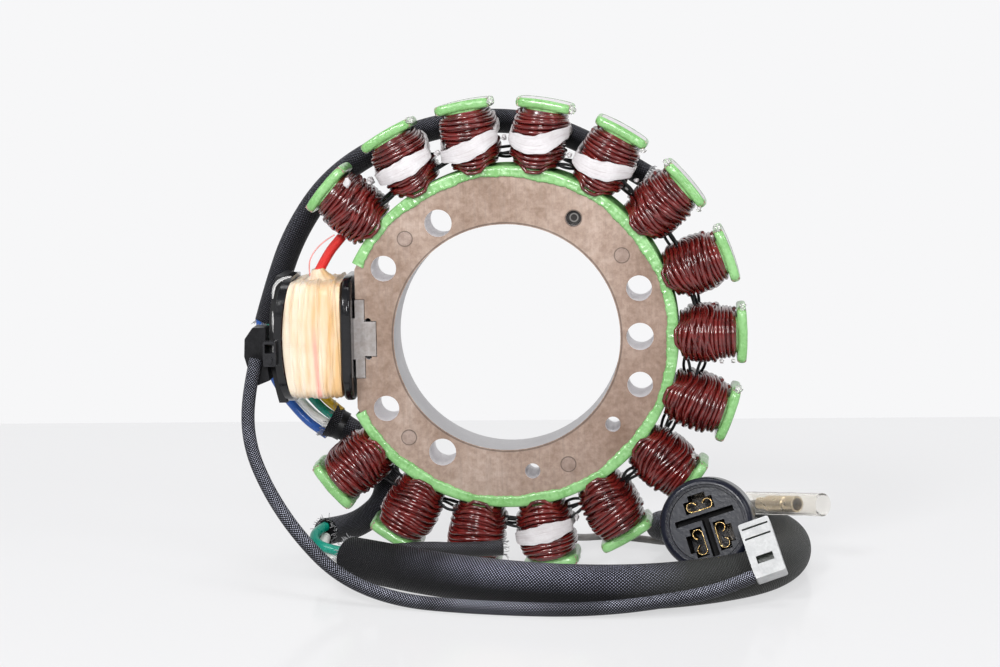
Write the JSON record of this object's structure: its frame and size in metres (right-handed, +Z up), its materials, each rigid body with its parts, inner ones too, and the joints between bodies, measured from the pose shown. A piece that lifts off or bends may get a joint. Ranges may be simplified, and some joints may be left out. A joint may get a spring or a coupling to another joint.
{
  "type": "alternator stator",
  "caption": "Wound stator with a bore for a rotor, outward poles with wire coils, one taped source coil, braided leads and a round plug.",
  "frame": {"origin": "on the surface the part stands on, under the middle of the standing part", "axes": "+Z up through the poles; the bore and every hole run along Y, with the open face towards -Y; the source coil is at -X"},
  "size_m": [0.1431, 0.0944, 0.1158],
  "materials": {
    "core_steel": "satin, warm grey punched sheet",
    "rivet_steel": "satin",
    "screw_steel": "bright plated",
    "coat_green": "rough powder coat",
    "coil_enamel": "glossy enamelled copper wire",
    "lacing_white": "varnished lacing tape",
    "braid_black": "varnished braid",
    "tape_cream": "satin woven tape",
    "bobbin_black": "gloss moulding",
    "tinned_metal": "tinned",
    "boot_black": "satin moulding",
    "red_plastic": "gloss",
    "lead_blue": "gloss insulation",
    "lead_white": "gloss insulation",
    "lead_teal": "gloss insulation",
    "lead_yellow": "gloss insulation",
    "connector_slate": "satin moulding",
    "insert_slate": "satin moulding",
    "terminal_brass": "bright",
    "housing_white": "satin moulding",
    "sleeve_clear": "clear, glossy",
    "lead_grey": "satin insulation"
  },
  "bodies": {
    "root": {"core_laminations": "core_steel", "core_rivets": "rivet_steel", "clamp_screw": "screw_steel", "insulation_coat": "coat_green", "coil_01": "coil_enamel", "coil_02": "coil_enamel", "coil_03": "coil_enamel", "coil_04": "coil_enamel", "coil_05": "coil_enamel", "coil_06": "coil_enamel", "coil_07": "coil_enamel", "coil_08": "coil_enamel", "coil_09": "coil_enamel", "coil_10": "coil_enamel", "coil_11": "coil_enamel", "coil_12": "coil_enamel", "coil_13": "coil_enamel", "coil_14": "coil_enamel", "coil_15": "coil_enamel", "upper_sleeve": "braid_black", "lacing_1": "lacing_white", "lacing_2": "lacing_white", "lacing_3": "lacing_white", "lacing_4": "lacing_white", "lacing_5": "lacing_white", "source_core": "core_steel", "source_bobbin": "bobbin_black", "source_winding": "coil_enamel", "source_tape": "tape_cream", "terminal_lug": "tinned_metal", "lead_boot": "boot_black", "red_sleeve": "red_plastic", "lead_to_boot": "lead_yellow", "lower_sleeve": "braid_black", "lead_blue": "lead_blue", "lead_white": "lead_white", "lead_teal": "lead_teal", "lead_yellow": "lead_yellow", "joint_sleeve": "braid_black", "connector_shell": "connector_slate", "connector_insert": "insert_slate", "connector_terminals": "terminal_brass", "terminal_housing": "housing_white", "bullet_sleeve": "sleeve_clear", "bullet_terminal": "terminal_brass", "harness_sleeve": "braid_black", "tail_wire_teal": "lead_teal", "tail_wire_white": "lead_white", "plug_lead": "braid_black", "thin_lead": "braid_black", "bullet_lead": "lead_grey"}
  },
  "joints": []
}
